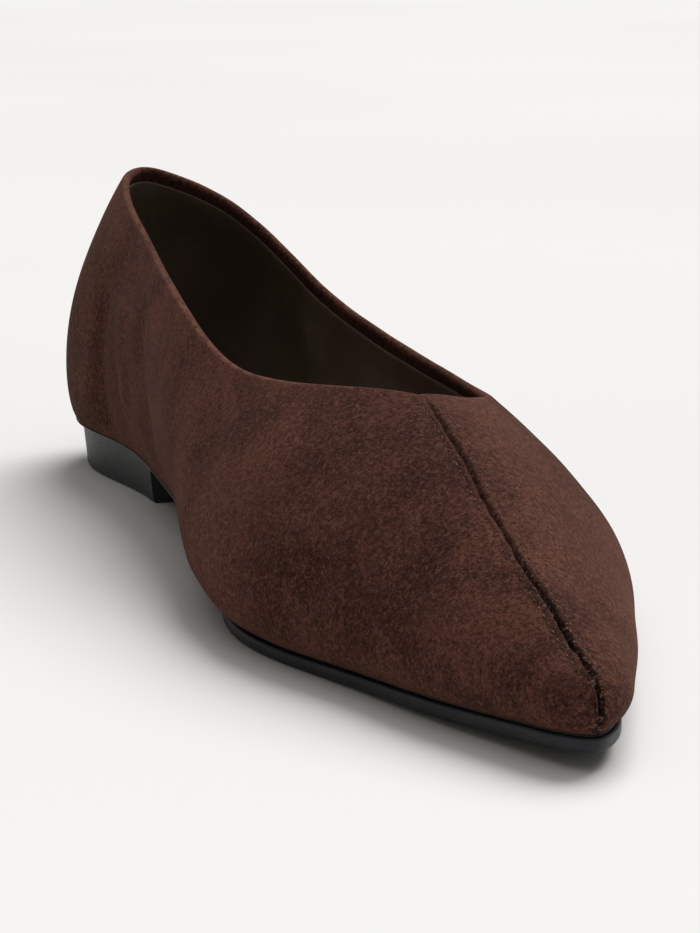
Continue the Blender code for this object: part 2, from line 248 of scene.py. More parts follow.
def outsole_bottom(from_heel):
    """Underside of the outsole, which is thinner over the waist and heel seat."""
    fore = smooth_step(from_heel, SEAT_FRONT, TREAD_BACK)
    return outsole_top(from_heel) - OUTSOLE_WAIST - (OUTSOLE_FORE - OUTSOLE_WAIST) * fore


def outsole_offset(turn):
    """How far the edge of the outsole and heel stands outside the feather line: a narrow welt round the
    forepart, tucked in under the waist, and further in at the heel."""
    fore_welt = 0.9
    tip_welt = 0.6
    waist_tuck = 1.1
    heel_tuck = 1.7
    from_heel = CURVES["feather"](np.asarray(turn) % 2.0)
    wide = smooth_step(from_heel, SOLE_WIDE_FROM, SOLE_WIDE_AT)
    tip = smooth_step(from_heel, TREAD_FRONT, LAST_LENGTH)
    seat = smooth_step(from_heel, SOLE_WIDE_FROM, SEAT_FRONT)
    waist = -waist_tuck - (heel_tuck - waist_tuck) * seat
    return fore_welt * wide + waist * (1.0 - wide) - (fore_welt - tip_welt) * tip


def outward(turn):
    """Unit normal of the feather line in plan, away from the shoe."""
    across = CURVES["side"](turn, slope=True)
    along = CURVES["feather"](turn, slope=True)
    return unit(np.stack([-along, across], -1))


def edge_points(turn, offset):
    """Points beside the feather line, moved outward by offset, at the feather height of their own place
    along the foot."""
    turn = np.asarray(turn, float) % 2.0
    normal = outward(turn)
    across = CURVES["side"](turn) + normal[..., 0] * offset
    from_heel = CURVES["feather"](turn) + normal[..., 1] * offset
    return np.stack([across, from_heel, feather_height(from_heel)], -1)


def last_surface(turn, up):
    """Smooth outside of the upper. Each section is a cubic Bezier curve from the feather line, up = 0,
    to the ridge, up = 1. It leaves the feather line outward by swell and up by rise, and meets the ridge
    from crown outward and fall below."""
    turn = np.asarray(turn, float) % 2.0
    up = np.asarray(up, float)[..., None]
    normal = outward(turn)
    feather = edge_points(turn, 0.0)
    ridge = np.stack([np.zeros_like(turn), CURVES["ridge"](turn), CURVES["height"](turn)], -1)
    swell = normal * CURVES["swell"](turn)[..., None]
    crown = normal * CURVES["crown"](turn)[..., None]
    low_handle = feather + np.concatenate([swell, CURVES["rise"](turn)[..., None]], -1)
    high_handle = ridge + np.concatenate([crown, -CURVES["fall"](turn)[..., None]], -1)
    down = 1.0 - up
    return (down ** 3 * feather + 3.0 * down ** 2 * up * low_handle
            + 3.0 * down * up ** 2 * high_handle + up ** 3 * ridge)


def surface_steps(turn, up):
    """Change of the last's surface for a step of the turn and for a step of the height share, from
    central differences."""
    round_step = (last_surface(turn + REACH, up) - last_surface(turn - REACH, up)) / (2.0 * REACH)
    up_step = (last_surface(turn, up + REACH) - last_surface(turn, up - REACH)) / (2.0 * REACH)
    return round_step, up_step


def ridge_normal(turn):
    """Outward normal of the ridge line in its own upright plane, square to its slope. The ridge line's
    steps vanish at the toe, so they are taken a little behind it there."""
    least = 0.004
    from_toe = np.asarray(turn, float) % 2.0
    from_toe = np.maximum(np.minimum(from_toe, 2.0 - from_toe), least)
    back = CURVES["ridge"](from_toe + REACH) - CURVES["ridge"](from_toe - REACH)
    rise = CURVES["height"](from_toe + REACH) - CURVES["height"](from_toe - REACH)
    return np.stack([np.zeros_like(from_toe), rise, -back], -1)


def last_normal(turn, up):
    """Unit normal of the last, outward: the cross product of the two surface steps. On the ridge, where
    both sides meet, it is the ridge line's own."""
    ridge_from = 0.99999
    round_step, up_step = surface_steps(turn, up)
    on_ridge = np.asarray(up) > ridge_from
    normal = np.where(on_ridge[..., None], ridge_normal(turn), np.cross(up_step, round_step))
    return unit(normal)


def crease_relief(points):
    """Height of the soft creases: for each, depth times a bell curve of the distance from its line in
    side view, faded out towards the other side of the shoe."""
    relief = np.zeros(points.shape[:-1])
    for side, along_a, height_a, along_b, height_b, half_width, depth in CREASES.values():
        start = np.array([along_a, height_a])
        line = np.array([along_b, height_b]) - start
        offset = points[..., 1:] - start
        share = np.clip(offset @ line / (line @ line), 0.0, 1.0)
        distance = np.linalg.norm(offset - share[..., None] * line, axis=-1)
        sign = 1.0 if side == "lateral" else -1.0
        near_side = smooth_step(points[..., 0] * sign, start=0.0, end=12.0)
        relief += depth * bell(distance, half_width) * near_side
    return relief


def hand_relief(points):
    """Slight unevenness of hand lasting: a sum of long sine waves through space, each with its height
    and wavelength in millimetres, direction and phase."""
    waves = ((0.10, 41.0, (0.8, 0.5, 0.3), 0.4), (0.07, 29.0, (-0.5, 0.8, 0.4), 1.9),
             (0.05, 23.0, (0.3, -0.6, 0.9), 3.1), (0.03, 13.0, (0.7, 0.7, -0.2), 5.0))
    relief = np.zeros(points.shape[:-1])
    for height, wavelength, direction, phase in waves:
        relief += height * np.sin(points @ unit(np.array(direction)) * 2.0 * np.pi / wavelength + phase)
    return relief


def seam_drift(from_heel):
    """How far the seam lies to the lateral side of the ridge: about a millimetre at the throat, none on
    the toe."""
    at_throat = 0.9
    return at_throat * (1.0 - smooth_step(from_heel, start=188.0, end=226.0))


def wave(from_heel, length, phase=0.0):
    """Sine wave along the foot with a wavelength in millimetres."""
    return np.sin(from_heel * 2.0 * np.pi / length + phase)


def seam_relief(points):
    """Profile across the closed front seam: a narrow trench whose depth wavers, a soft roll on either
    side of it, and a shallow groove under each row of stitches. It grows from nothing at the topline."""
    roll_height = 0.14
    roll_place = 1.15
    pucker_share = 0.35
    groove_depth = 0.13
    top = along_last(SEAM_TOP)
    across, from_heel = points[..., 0], points[..., 1]
    wander = 0.12 * wave(from_heel, 17.0) + 0.07 * wave(from_heel, 5.3, 1.0)
    waver = 1.0 + 0.18 * wave(from_heel, 3.7) + 0.12 * wave(from_heel, 2.3, 2.0)
    pucker = 1.0 + pucker_share * np.cos(from_heel * 2.0 * np.pi / STITCH_PITCH)
    reach = across - wander - seam_drift(from_heel)
    trench = -SEAM_DEPTH * waver * bell(reach, SEAM_HALF_WIDTH)
    rolls = roll_height * pucker * bell(np.abs(reach) - roll_place, half_width=0.5)
    grooves = -groove_depth * bell(np.abs(reach) - STITCH_ROW, half_width=0.45)
    return (trench + rolls + grooves) * smooth_step(from_heel, start=top + 0.5, end=top + 7.0)


def to_frame(points):
    """Turns (across, from heel, height) in millimetres into metres in the shoe's frame."""
    across = points[..., 0] - PLAN_CENTRE[0]
    along = PLAN_CENTRE[1] - points[..., 1]
    return np.stack([across, along, points[..., 2]], -1) * MM


def wall_points(turn, up, depth):
    """Points of the lasted upper, inward of its outside by depth along the last's normal. The outside is
    the last with its creases and seam. The foot turns in and down under the edge within about a
    millimetre of the feather line."""
    tuck_height = 1.3
    tuck_in = 0.6
    tuck_down = MESH_GAP - 0.04
    base = last_surface(turn, up)
    normal = last_normal(turn, up)
    relief = crease_relief(base) + hand_relief(base) + seam_relief(base)
    above = base[..., 2] - feather_height(base[..., 1])
    relief = relief * smooth_step(above, start=0.3, end=5.0)
    tuck = 1.0 - smooth_step(above, 0.0, tuck_height)
    points = base + normal * (relief - depth)[..., None]
    points[..., :2] -= outward(np.asarray(turn) % 2.0) * (tuck_in * tuck)[..., None]
    points[..., 2] -= tuck_down * tuck
    return points


def steps_toward(direction, round_step, up_step):
    """Steps in turn and in height share that go one millimetre in a direction that lies in the surface,
    solved from the two surface steps."""
    rr = np.sum(round_step * round_step, -1)
    ru = np.sum(round_step * up_step, -1)
    uu = np.sum(up_step * up_step, -1)
    dr = np.sum(direction * round_step, -1)
    du = np.sum(direction * up_step, -1)
    spread = rr * uu - ru * ru
    return (dr * uu - du * ru) / spread, (du * rr - dr * ru) / spread


class Topline:
    """The opening's edge as columns of places on the last, from the seam top along the lateral side,
    round the heel and back. Each has a step in turn and height share that moves one millimetre down the
    upper, square to the edge. Close to the seam top the step turns to run forward along the ridge, so
    that both sides meet on one mitre."""

    def __init__(self):
        turn_weight = 4.0
        mitre_reach = 7.0
        self.seam_turn = turn_at(along_last(SEAM_TOP), "ridge")
        lateral = [(turn_at(along_last(percent)), up) for percent, up in TOPLINE_LATERAL]
        medial = [(2.0 - turn_at(along_last(percent)), up) for percent, up in TOPLINE_MEDIAL]
        rows = [(self.seam_turn, 1.0)] + lateral + [(1.0, TOPLINE_HEEL)] + medial[::-1]
        rows.append((2.0 - self.seam_turn, 1.0))
        turns, ups = np.array(rows, float).T
        steps = np.sqrt(np.hypot(turn_weight * np.diff(turns), np.diff(ups)))
        shares = np.concatenate([[0.0], np.cumsum(steps)]) / steps.sum()
        heel_share = shares[1 + len(lateral)]
        turn_path, up_path = Spline(shares, turns), Spline(shares, ups)
        at = np.linspace(0.0, 1.0, TOPLINE_COLUMNS)
        self.turns, self.ups = turn_path(at), up_path(at)
        past_heel = (at - heel_share) / (1.0 - heel_share)
        self.fade = np.where(at < heel_share, 1.0 - at / heel_share, -past_heel)

        round_step, up_step = surface_steps(self.turns, self.ups)
        tangent = unit(round_step * turn_path(at, slope=True)[:, None]
                       + up_step * up_path(at, slope=True)[:, None])
        down = np.cross(unit(np.cross(up_step, round_step)), tangent)
        down *= -np.sign(np.sum(down * up_step, -1).sum())
        down_turn, down_up = steps_toward(down, round_step, up_step)

        self.ridge_step = 2.0 * REACH / np.linalg.norm(
            last_surface(self.seam_turn + REACH, 1.0) - last_surface(self.seam_turn - REACH, 1.0))
        walked = distance_walked(last_surface(self.turns, self.ups))
        mitre = 1.0 - smooth_step(np.minimum(walked, walked[-1] - walked), 0.0, mitre_reach)
        toward_toe = np.where(at < 0.5, -self.ridge_step, self.ridge_step)
        self.turn_step = down_turn * (1.0 - mitre) + toward_toe * mitre
        self.up_step = down_up * (1.0 - mitre)

    def columns(self, below):
        """Turn and height share of the top of every column, this many millimetres below the edge: seam
        columns of the lateral side, topline columns, and seam columns of the medial side."""
        seam = SEAM_SHARES * (self.seam_turn - self.ridge_step * below)
        on_ridge = np.ones(SEAM_COLUMNS)
        turns = np.concatenate([seam, self.turns + self.turn_step * below, 2.0 - seam[::-1]])
        ups = np.concatenate([on_ridge, self.ups + self.up_step * below, on_ridge])
        return turns, np.minimum(ups, 1.0)

    def feet(self):
        """Turn of the foot of every column. It lies a little nearer the toe than the top, most at the
        seam top, so that the columns fan round the throat."""
        most = 0.2 * self.seam_turn
        seam_lean = most * SEAM_SHARES
        tops = self.columns(0.0)[0]
        return tops - np.concatenate([seam_lean, most * self.fade, -seam_lean[::-1]])


TOPLINE = Topline()


def fine_ends(count):
    """Shares from 0 to 1, close together at the top, where the seam and fold are, and at the foot."""
    foot_rows = np.linspace(0.003, 0.014, 4)
    foot_end = 0.02
    evenness = 0.3
    down = np.linspace(1.0, 0.0, count - len(foot_rows))
    shares = 1.0 - (evenness * down + (1.0 - evenness) * down ** 2)
    return np.concatenate([[0.0], foot_rows, foot_end + (1.0 - foot_end) * shares[1:]])


def grid_quads(index):
    """Quads between neighbouring point numbers of a grid."""
    return np.stack([index[:-1, :-1], index[1:, :-1], index[1:, 1:], index[:-1, 1:]], -1).reshape(-1, 4)


def ring_quads(rings, sides, looped=False):
    """Quads between closed rings of points, numbered one ring after another, and from the last ring back
    to the first where they make a loop."""
    index = np.arange(rings * sides).reshape(rings, sides)
    if looped:
        index = np.concatenate([index, index[:1]])
    return grid_quads(np.concatenate([index, index[:, :1]], 1))


def wall_shell(outer_rows, inner_rows, outer_depth, inner_depth, edge):
    """Closed wall round the foot. Its outer side runs up each column to the first place of the edge
    profile, its inner side down from the last one. The profile lists millimetres below the topline and
    depth in the wall, and is carried along the topline. The columns in front of the throat end on the
    ridge, where both sides meet. Gives points and quads."""
    feet = TOPLINE.feet()[:, None]

    def side(rows, below, depth):
        """Points of every column, at shares of the way from its foot to its top."""
        tops, ups = TOPLINE.columns(below)
        turns = feet + (tops[:, None] - feet) * rows
        return wall_points(turns, ups[:, None] * rows, depth + np.zeros_like(turns))

    outer = side(outer_rows, edge[0][0], outer_depth)
    inner = side(inner_rows, edge[-1][0], inner_depth)
    below, depth = np.array(edge[1:-1]).T
    turns = TOPLINE.turns[:, None] + TOPLINE.turn_step[:, None] * below
    ups = np.minimum(TOPLINE.ups[:, None] + TOPLINE.up_step[:, None] * below, 1.0)
    rim = wall_points(turns, ups, depth + np.zeros_like(turns))

    points = np.concatenate([part.reshape(-1, 3) for part in (outer, inner, rim)])
    numbers = np.arange(len(points))
    first_inner = outer.size // 3
    first_rim = first_inner + inner.size // 3
    outer_index = numbers[:first_inner].reshape(len(feet), -1)
    inner_index = numbers[first_inner:first_rim].reshape(len(feet), -1)
    rim_index = numbers[first_rim:].reshape(TOPLINE_COLUMNS, -1)
    top = slice(SEAM_COLUMNS, SEAM_COLUMNS + TOPLINE_COLUMNS)
    over = np.concatenate([outer_index[top, -1:], rim_index, inner_index[top, :1]], 1)
    under = np.stack([inner_index[:, -1], outer_index[:, 0]], 1)
    quads = [grid_quads(index) for index in (outer_index, over, inner_index, under)]
    return points, np.concatenate(quads)


def add_object(name, data):
    """Object with this data in the scene."""
    made = bpy.data.objects.new(name, data)
    bpy.context.scene.collection.objects.link(made)
    return made


def make_piece(name, points, quads, finish, replaced=None, caps=()):
    """Object from points in millimetres on the last, quads and caps, with doubled points merged and
    faces turned outward. It rides on the shoe's one body, and may replace a node of the CAD."""
    merge_distance = 0.00001
    sharp_from = 50.0
    mesh = bpy.data.meshes.new(name)
    mesh.from_pydata(to_frame(points).tolist(), [], quads.tolist() + [list(cap) for cap in caps])
    work = bmesh.new()
    work.from_mesh(mesh)
    bmesh.ops.remove_doubles(work, verts=work.verts, dist=merge_distance)
    bmesh.ops.dissolve_degenerate(work, edges=work.edges, dist=merge_distance)
    bmesh.ops.recalc_face_normals(work, faces=work.faces)
    work.to_mesh(mesh)
    work.free()
    mesh.shade_smooth()
    mesh.set_sharp_from_angle(angle=np.radians(sharp_from))
    mesh.materials.append(finish)
    made = add_object(name, mesh)
    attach(made, "root")
    if replaced:
        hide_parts(replaced)
    return made


def make_upper(finish):
    """The suede upper: outside, turned-in edge and facing band round the topline, and its hidden inside
    against the lining."""
    band_rows = np.linspace(1.6, FACING_WIDTH - 0.3, 7)
    cut_edge = [(FACING_WIDTH - 0.1, 1.9), (FACING_WIDTH, SUEDE_THICK)]
    angle = np.linspace(0.0, np.pi, 10)
    fold = np.stack([FOLD_RADIUS * (1.0 - np.sin(angle)), FOLD_RADIUS * (1.0 - np.cos(angle))], 1)
    edge = [*fold.tolist(), *[(below, 2.0 * FOLD_RADIUS) for below in band_rows], *cut_edge]
    points, quads = wall_shell(fine_ends(SUEDE_ROWS), np.linspace(1.0, 0.0, INSIDE_ROWS), 0.0,
                               SUEDE_THICK, edge)
    upper = make_piece("upper_suede", points, quads, finish, "upper")
    add_seam_and_fold_marks(upper.data)


def add_seam_and_fold_marks(mesh):
    """Two point attributes on the suede. Along the front seam, a bell curve across the seam, faint along
    the vamp and stronger and wider on the toe: it carries frayed thread ends and painted shade in the
    seam's trench. Along the fold, a bell curve of the distance from the topline: it carries a painted
    highlight."""
    on_vamp = 0.4
    seam_mark_narrow = 0.6
    seam_mark_widens = 0.8
    highlight_most = 0.45
    highlight_width = 0.7
    places = np.empty(len(mesh.vertices) * 3)
    mesh.vertices.foreach_get("co", places)
    places = places.reshape(-1, 3) / MM
    across = places[:, 0] + PLAN_CENTRE[0]
    from_heel = PLAN_CENTRE[1] - places[:, 1]
    # Along the front seam: frayed thread ends, and painted shade in the seam's trench
    toe = smooth_step(from_heel, 222.0, 244.0)
    seam_mark_strength = on_vamp * smooth_step(from_heel, 186.0, 192.0) + (1.0 - on_vamp) * toe
    fray_and_trench_shade = bell(across - seam_drift(from_heel), seam_mark_narrow + seam_mark_widens * seam_mark_strength) * seam_mark_strength

    # Painted highlight along the turned-in fold, strongest right at the topline
    topline = to_frame(wall_points(TOPLINE.turns, TOPLINE.ups, np.zeros_like(TOPLINE.turns))) / MM
    squared = (places ** 2).sum(1)[:, None] + (topline ** 2).sum(1) - 2.0 * places @ topline.T
    tone_mask = highlight_most * np.exp(-squared.min(1) / highlight_width ** 2)
    for name, values in (("fray_and_trench_shade", fray_and_trench_shade), ("fold_highlight", tone_mask)):
        mesh.attributes.new(name, "FLOAT", "POINT").data.foreach_set("value", values)


def make_lining(finish):
    """The lining: a thin shell inside the suede, from the foot up to the facing band, which its rolled
    top edge laps by just under a millimetre. The roll lists millimetres below the facing's cut edge and
    depth in the wall."""
    outer_rows = 14
    outer_depth = SUEDE_THICK + 0.05
    lap_depth = UPPER_WALL + 0.5
    swells_from = 0.75
    roll = ((0.5, outer_depth), (0.25, outer_depth), (0.1, 2.04), (-0.4, 2.05), (-0.75, 2.08),
            (-0.9, 2.22), (-0.82, 2.4), (-0.5, 2.5), (0.2, lap_depth))
    edge = [(FACING_WIDTH + below, depth) for below, depth in roll]
    rows = np.linspace(1.0, 0.0, LINING_ROWS)
    inner_depth = UPPER_WALL + (lap_depth - UPPER_WALL) * smooth_step(rows, swells_from, 1.0)
    points, quads = wall_shell(np.linspace(0.0, 1.0, outer_rows), rows, outer_depth, inner_depth, edge)
    make_piece("lining", points, quads, finish)


def row_path(sign):
    """Places of a row of stitches on the last, from the seam top to the toe: on each section, the
    highest place that is still as far from the seam as the row. Sign is 1 for the lateral side and -1
    for the medial side."""
    below_edge = 1.5
    toe_turn = 0.002
    samples = 400
    turns = np.linspace(TOPLINE.seam_turn - TOPLINE.ridge_step * below_edge, toe_turn, samples)
    ups = np.linspace(0.0, 1.0, samples)
    if sign < 0:
        turns = 2.0 - turns
    places = last_surface(turns[:, None], ups[None, :] + 0.0 * turns[:, None])
    across = (places[..., 0] - seam_drift(places[..., 1])) * sign
    wide = across >= STITCH_ROW
    found = wide.any(1)
    last_wide = samples - 1 - np.argmax(wide[:, ::-1], axis=1)
    low = np.clip(last_wide, 0, samples - 2)
    pick = np.arange(samples)
    share = (across[pick, low] - STITCH_ROW) / (across[pick, low] - across[pick, low + 1])
    return turns[found], (ups[low] + np.clip(share, 0.0, 1.0) * ups[1])[found]


def stitch_row(sign):
    """Stitches of one row, one every pitch. Each is a short bent tube with closed, rounded ends that
    dips into the suede: its centre line is a flat arch and its radius closes as the fourth root."""
    toe_gap = 1.5
    shifts = (-0.4, 0.0, 0.4)
    arch = 0.13
    sunk = 0.08
    rings = 9
    sides = 8
    turns, ups = row_path(sign)
    walked = distance_walked(last_surface(turns, ups))
    centres_at = np.arange(STITCH_PITCH, walked[-1] - toe_gap, STITCH_PITCH)
    near_turns = [np.interp(centres_at + shift, walked, turns) for shift in shifts]
    near_ups = [np.interp(centres_at + shift, walked, ups) for shift in shifts]
    before, centre, after = (wall_points(t, u, np.zeros_like(t)) for t, u in zip(near_turns, near_ups))
    along = unit(after - before)
    aside = unit(np.cross(last_normal(near_turns[1], near_ups[1]), along))
    normal = np.cross(along, aside)

    share = np.linspace(-1.0, 1.0, rings)
    angle = np.linspace(0.0, 2.0 * np.pi, sides + 1)[:-1]
    radius = THREAD_RADIUS * (1.0 - share ** 4) ** 0.25
    lift = arch * (1.0 - share ** 2) - sunk
    run = np.broadcast_to((share * STITCH_LENGTH / 2.0)[:, None], (rings, sides))
    over = lift[:, None] + radius[:, None] * np.sin(angle)
    beside = radius[:, None] * np.cos(angle)
    points = (centre[:, None, None] + along[:, None, None] * run[..., None]
              + normal[:, None, None] * over[..., None] + aside[:, None, None] * beside[..., None])
    first = np.arange(len(centre)) * rings * sides
    quads = ring_quads(rings, sides)[None] + first[:, None, None]
    return points.reshape(-1, 3), quads.reshape(-1, 4)


def make_topstitching(finish):
    """Both rows of topstitching beside the front seam, as one mesh."""
    lateral, lateral_quads = stitch_row(1.0)
    medial, medial_quads = stitch_row(-1.0)
    quads = np.concatenate([lateral_quads, medial_quads + len(lateral)])
    make_piece("topstitching", np.concatenate([lateral, medial]), quads, finish)


def side_points(turns, edge, flat):
    """Points down one side of a sole piece at each turn. The edge lists how far it stands outside the
    feather line, its points' insets, how far the first ones drop from the top and the others rise from
    the bottom, and the heights of both. Flat lists the place and distance from the heel of any section
    that lies square across the shoe."""
    offset, insets, drops, rises, top, bottom = edge
    split = len(drops)
    points = edge_points(turns[:, None], offset(turns)[:, None] - insets)
    for place, from_heel in flat:
        points[place, :, 1] = from_heel
    points[:, :split, 2] = top(points[:, :split, 1]) - drops
    points[:, split:, 2] = bottom(points[:, split:, 1]) + rises
    return points


def sole_sections(turns, edge, under, over, flat=()):
    """Closed rings of points, one for each turn from the toe, across the shoe from the lateral edge to
    the medial edge and back over the top. The underside and the top are each a number of points between
    the edges and, where they aren't plain, a function that gives their relief."""
    lateral = side_points(turns, edge, flat)
    medial = side_points(2.0 - turns, edge, flat)
    width = np.linalg.norm(lateral[:, -1, :2] - medial[:, -1, :2], axis=-1)[:, None]

    def span(start, end, count, relief=None):
        """Points between two edges with their relief, which depends on the distance to the edge too."""
        share = np.linspace(0.0, 1.0, count + 2)[1:-1, None]
        points = start[:, None] * (1.0 - share) + end[:, None] * share
        if relief:
            points[..., 2] += relief(points, np.minimum(share[:, 0], 1.0 - share[:, 0]) * width)
        return points

    below = span(lateral[:, -1], medial[:, -1], *under)
    above = span(medial[:, 0], lateral[:, 0], *over)
    return np.concatenate([lateral, below, medial[:, ::-1], above], 1)


def make_sole_piece(name, rings, finish, replaced, capped):
    """Object from closed rings, one after another, with a flat cap on the first one or the last one,
    capped = 0 or -1. At the other end both sides meet."""
    count, size = rings.shape[:2]
    first = capped % count * size
    make_piece(name, rings.reshape(-1, 3), ring_quads(count, size), finish, replaced,
               [range(first, first + size)])


def ribs(start, end):
    """Relief of the tread between two distances from the heel: fine cross ribs with shallow rounded
    grooves between them, inside a plain border."""
    pitch = 3.4
    depth = 0.45
    groove_from = 0.55
    groove_full = 0.8
    border = 5.0
    side_slope = 0.7
    end_slope = 0.8

    def relief(points, inset):
        """Height of the underside's points over a plain tread."""
        from_heel = points[..., 1]
        waves = 0.5 + 0.5 * np.cos(from_heel * 2.0 * np.pi / pitch)
        field = (smooth_step(inset, border, border + side_slope)
                 * smooth_step(from_heel, start, start + end_slope)
                 * (1.0 - smooth_step(from_heel, end - end_slope, end)))
        return depth * smooth_step(waves, groove_from, groove_full) * field

    return relief


def eased(start, end, count):
    """Turns from start to end, close together at both ends, where the outline is tightly curved."""
    evenness = 0.6
    even = np.linspace(0.0, 1.0, count)
    slow_ends = (1.0 - evenness) * (1.0 - np.cos(np.pi * even)) / 2.0
    return start + (end - start) * (evenness * even + slow_ends)


def quarter_round(radius, count=5):
    """Insets and drops of a quarter circle, from the level face to the side."""
    angle = np.linspace(0.0, np.pi / 2.0, count)
    return radius * (1.0 - np.sin(angle)), radius * (1.0 - np.cos(angle))


def make_outsole(finish):
    """The outsole: a thin sheet with rounded edges that follows the arch and toe spring, with fine ribs
    under the forepart, butted against the heel block."""
    back = HEEL_BREAST + MESH_GAP
    top_inset, top_drop = quarter_round(radius=0.45)
    low_inset, low_rise = quarter_round(radius=0.7)
    edge = (outsole_offset, np.concatenate([top_inset, low_inset[::-1]]), top_drop, low_rise[::-1],
            outsole_top, outsole_bottom)
    rings = sole_sections(eased(0.0, turn_at(back), count=420), edge, (22, ribs(start=142.0, end=246.0)),
                          (6,), flat=[(-1, back)])
    make_sole_piece("outsole_rubber", rings, finish, "outsole", capped=-1)


def make_heel(finish):
    """The heel block: its sides go on from the outsole's outline and taper a little to a rounded edge at
    the floor, the breast is flat, and fine ribs run under it."""
    taper = 0.9
    side_height = 9.0
    closer_at_back = 0.8
    top_inset, top_drop = quarter_round(radius=0.3, count=4)
    low_inset, low_rise = quarter_round(radius=0.9, count=6)
    side = np.linspace(0.1, 0.9, 6)
    insets = np.concatenate([top_inset, side * taper, taper + low_inset[::-1]])
    drops = np.concatenate([top_drop, side * side_height])
    edge = (outsole_offset, insets, drops, low_rise[::-1], outsole_top, np.zeros_like)
    shares = np.linspace(0.0, 1.0, 150) ** closer_at_back
    turns = 1.0 - (1.0 - turn_at(HEEL_BREAST)) * (1.0 - shares)
    rings = sole_sections(turns, edge, (16, ribs(start=5.0, end=50.0)), (4,), flat=[(0, HEEL_BREAST)])
    make_sole_piece("heel_rubber", rings, finish, "heel", capped=0)


def insole_offset(turn):
    """How far the insole's edge stays inside the feather line, below zero: past the foot of the upper's
    inner wall, whose width in plan follows from the slope at which it leaves the feather line."""
    swell = CURVES["swell"](turn % 2.0)
    rise = CURVES["rise"](turn % 2.0)
    return -(UPPER_WALL * rise / np.hypot(swell, rise) + 1.5 * MESH_GAP)


def insole_dish(points, inset):
    """Soft hollow of the padded insole, up to 0.7 mm deep in the middle of the heel and forepart."""
    all_over = 0.25
    deeper = 0.45
    heel = bell(points[..., 1] - 34.0, half_width=26.0)
    fore = bell(points[..., 1] - 178.0, half_width=34.0)
    return -(all_over + deeper * np.maximum(heel, fore)) * smooth_step(inset, start=0.0, end=13.0)


def make_insole(finish):
    """The insole: a leather covered board with a soft rounded top edge, hollowed a little under the
    foot."""
    rises = np.array([0.6, 0.0])
    top_inset, top_drop = quarter_round(radius=0.8, count=6)
    edge = (insole_offset, np.concatenate([top_inset, np.zeros(2)]), top_drop, rises,
            lambda from_heel: feather_height(from_heel) + INSOLE, feather_height)
    rings = sole_sections(eased(turn_at(INSOLE_TIP), 1.0, count=260), edge, (4,), (34, insole_dish))
    make_sole_piece("insole_leather", rings, finish, "insole", capped=0)


def make_shade_bead(finish):
    """Near-black bead in the corner between upper and outsole, which paints the shade there: a small
    circle carried round the feather line."""
    radius = 0.17
    inward = 0.32
    sunk = 0.12
    rings = 560
    sides = 8
    turns = np.linspace(0.0, 2.0, rings + 1)[:-1]
    angle = np.linspace(0.0, 2.0 * np.pi, sides + 1)[:-1]
    points = edge_points(turns[:, None], radius * np.cos(angle) - inward)
    points[..., 2] += radius * np.sin(angle) - sunk
    make_piece("painted_shade_line", points.reshape(-1, 3), ring_quads(rings, sides, looped=True), finish)


def srgb(code):
    """Linear colour of an sRGB hex code, with full alpha."""
    values = np.array([int(code[i:i + 2], 16) for i in (1, 3, 5)]) / 255.0
    linear = np.where(values <= 0.04045, values / 12.92, ((values + 0.055) / 1.055) ** 2.4)
    return (*linear, 1.0)


def set_inputs(tree, node, inputs):
    """Gives each input of a node a value, or a link where it is given a socket."""
    for name, value in inputs.items():
        if isinstance(value, bpy.types.NodeSocket):
            tree.links.new(value, node.inputs[name])
        else:
            node.inputs[name].default_value = value


def add_node(tree, kind, inputs, **settings):
    """Node with its settings and inputs."""
    made = tree.nodes.new("ShaderNode" + kind)
    for name, value in settings.items():
        setattr(made, name, value)
    set_inputs(tree, made, inputs)
    return made


def new_finish(name):
    """Material with its node tree, Principled shader and object coordinates."""
    made = bpy.data.materials.new(name)
    made.use_nodes = True
    tree = made.node_tree
    return made, tree, tree.nodes["Principled BSDF"], add_node(tree, "TexCoord", {}).outputs["Object"]


def per_mm(size):
    """Texture scale for a pattern of this size in millimetres, on coordinates in metres."""
    return 1.0 / (size * MM)


def noise(tree, place, size, detail, roughness, distortion=0.0):
    """Noise whose grains are about this many millimetres across."""
    made = add_node(tree, "TexNoise", {"Vector": place, "Scale": per_mm(size), "Detail": detail,
                                       "Roughness": roughness, "Distortion": distortion})
    return made.outputs["Fac"]


def ranged(tree, pattern, low, high, to_low=0.0, to_high=1.0):
    """Pattern mapped smoothly from one range to another, and held level outside it."""
    mapped = add_node(tree, "MapRange", {"Value": pattern, "From Min": low, "From Max": high,
                                         "To Min": to_low, "To Max": to_high},
                      interpolation_type="SMOOTHSTEP")
    return mapped.outputs["Result"]


def times(tree, first, second):
    """Product of two values."""
    return add_node(tree, "Math", {0: first, 1: second}, operation="MULTIPLY").outputs[0]


def mix_colour(tree, share, first, second):
    """Colour between two, each a hex code or a socket."""
    first, second = (srgb(end) if isinstance(end, str) else end for end in (first, second))
    return add_node(tree, "Mix", {0: share, 6: first, 7: second}, data_type="RGBA").outputs[2]


def blend(tree, pattern, low, high, first, second, most=1.0):
    """Colour that goes from the first towards the second, all the way or up to a share, as a pattern goes
    from low to high."""
    return mix_colour(tree, ranged(tree, pattern, low, high, 0.0, most), first, second)


def bumped(tree, height, strength, depth, under=None):
    """Normal of a surface with a height pattern this many millimetres deep, over another normal."""
    inputs = {"Strength": strength, "Distance": depth * MM, "Height": height}
    if under is not None:
        inputs["Normal"] = under
    return add_node(tree, "Bump", inputs).outputs["Normal"]


